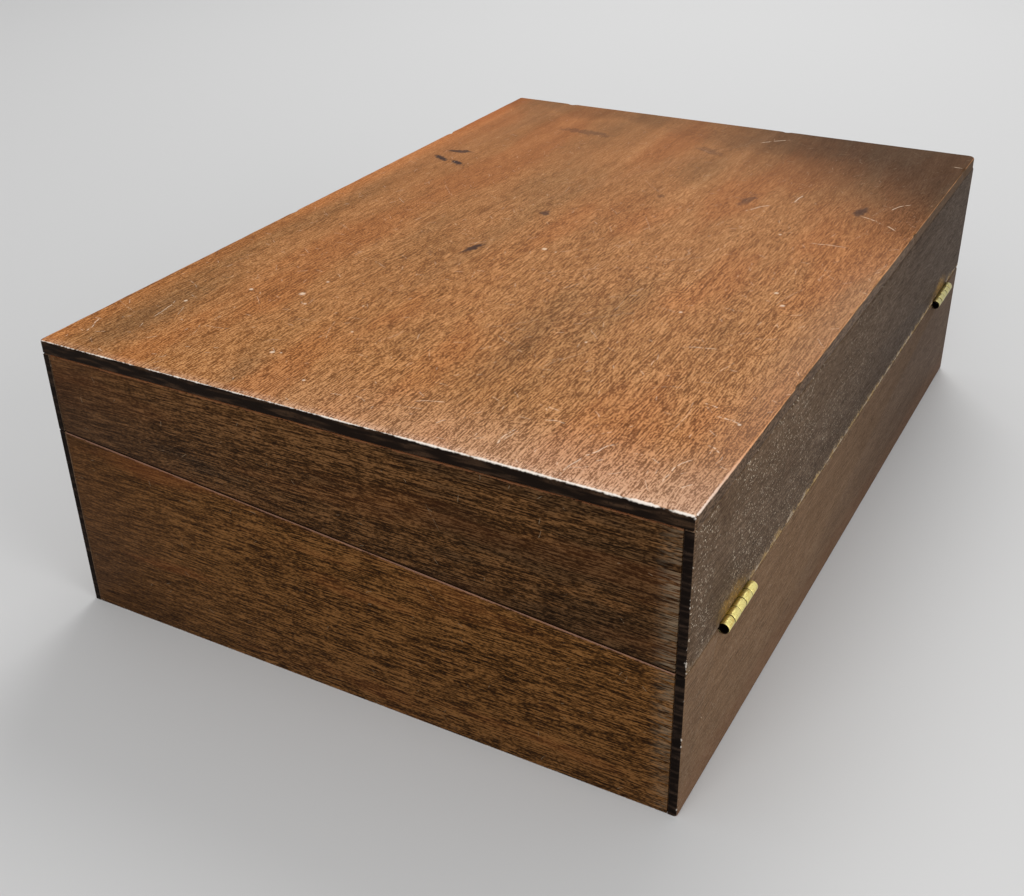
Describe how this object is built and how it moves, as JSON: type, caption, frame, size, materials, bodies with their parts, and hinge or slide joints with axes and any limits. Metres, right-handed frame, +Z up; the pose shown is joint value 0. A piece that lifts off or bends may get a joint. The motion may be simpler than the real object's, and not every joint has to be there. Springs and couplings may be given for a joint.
{
  "type": "writing box",
  "caption": "Wooden writing slope box, lid hinged along a slanting seam, with two leather-faced flaps, pen tray, inkwells and lock inside.",
  "frame": {"origin": "centre of the bottom face, on the surface that the box stands on", "axes": "+X along the box towards the pictured short end, +Y across it towards the hinge side, +Z up"},
  "size_m": [0.35, 0.2473, 0.111],
  "materials": {
    "top_board": "polished mahogany, warm brown",
    "mahogany_outside": "old dark polished mahogany",
    "mahogany_inside": "oiled mahogany",
    "brass": "worn satin",
    "old_brass": "tarnished",
    "steel": "dull steel wire",
    "leather": "dark green skiver",
    "glass": "clear glass"
  },
  "bodies": {
    "base": {"base_bottom": "mahogany_inside", "base_near_end": "mahogany_outside", "base_far_end": "mahogany_outside", "base_lock_side": "mahogany_outside", "base_hinge_side": "mahogany_outside", "tray_divider": "mahogany_inside", "ink_partition_near": "mahogany_inside", "ink_partition_far": "mahogany_inside", "tray_bearer_near": "mahogany_inside", "tray_bearer_far": "mahogany_inside", "pen_tray": "mahogany_inside", "base_flap_ledge_near": "mahogany_inside", "base_flap_ledge_far": "mahogany_inside", "inkwell_near": "glass", "inkwell_far": "glass", "inkwell_cap_near": "brass", "inkwell_cap_far": "brass", "hinge_near_base_leaf": "brass", "hinge_far_base_leaf": "brass", "hinge_near_pin": "steel", "hinge_far_pin": "steel", "hinge_near_base_screw_1": "old_brass", "hinge_near_base_screw_2": "old_brass", "hinge_far_base_screw_1": "old_brass", "hinge_far_base_screw_2": "old_brass", "lock_plate": "brass", "lock_case": "old_brass", "lock_key_pin": "steel", "lock_screw_1": "old_brass", "lock_screw_2": "old_brass", "keyhole_escutcheon": "brass"},
    "lock_bolt": {"lock_bolt": "brass"},
    "base_flap": {"base_flap": "mahogany_inside", "base_writing_skin": "leather", "base_flap_pin_near": "brass", "base_flap_pin_far": "brass"},
    "lid": {"lid_top": "top_board", "lid_near_end": "mahogany_outside", "lid_far_end": "mahogany_outside", "lid_lock_side": "mahogany_outside", "lid_hinge_side": "mahogany_outside", "lid_flap_ledge_near": "mahogany_inside", "lid_flap_ledge_far": "mahogany_inside", "lid_flap_ledge_lock": "mahogany_inside", "hinge_near_lid_leaf": "brass", "hinge_far_lid_leaf": "brass", "hinge_near_lid_screw_1": "old_brass", "hinge_near_lid_screw_2": "old_brass", "hinge_far_lid_screw_1": "old_brass", "hinge_far_lid_screw_2": "old_brass", "link_plate": "brass", "link_screw_1": "old_brass", "link_screw_2": "old_brass"},
    "lid_flap": {"lid_flap": "mahogany_inside", "lid_writing_skin": "leather", "lid_flap_pin_near": "brass", "lid_flap_pin_far": "brass"}
  },
  "joints": [
    {"name": "lid_hinge", "type": "hinge", "parent": "base", "child": "lid", "pos_m": [0, 0.1233, 0.0555], "axis": [-1, 0, 0], "range_deg": [0, 180]},
    {"name": "base_flap_hinge", "type": "hinge", "parent": "base", "child": "base_flap", "pos_m": [0, 0.1084, 0.0532], "axis": [-1, 0, 0], "range_deg": [0, 60]},
    {"name": "lid_flap_hinge", "type": "hinge", "parent": "lid", "child": "lid_flap", "pos_m": [0, 0.1084, 0.06003], "axis": [1, 0, 0], "range_deg": [0, 60]},
    {"name": "lock_bolt_slide", "type": "slide", "parent": "base", "child": "lock_bolt", "axis": [1, 0, 0], "range_m": [0, 0.004]}
  ],
  "couplings": [
    {"joint": "base_flap_hinge", "follows": "lid_hinge", "ratio": 0.333},
    {"joint": "lid_flap_hinge", "follows": "lid_hinge", "ratio": 0.333}
  ]
}
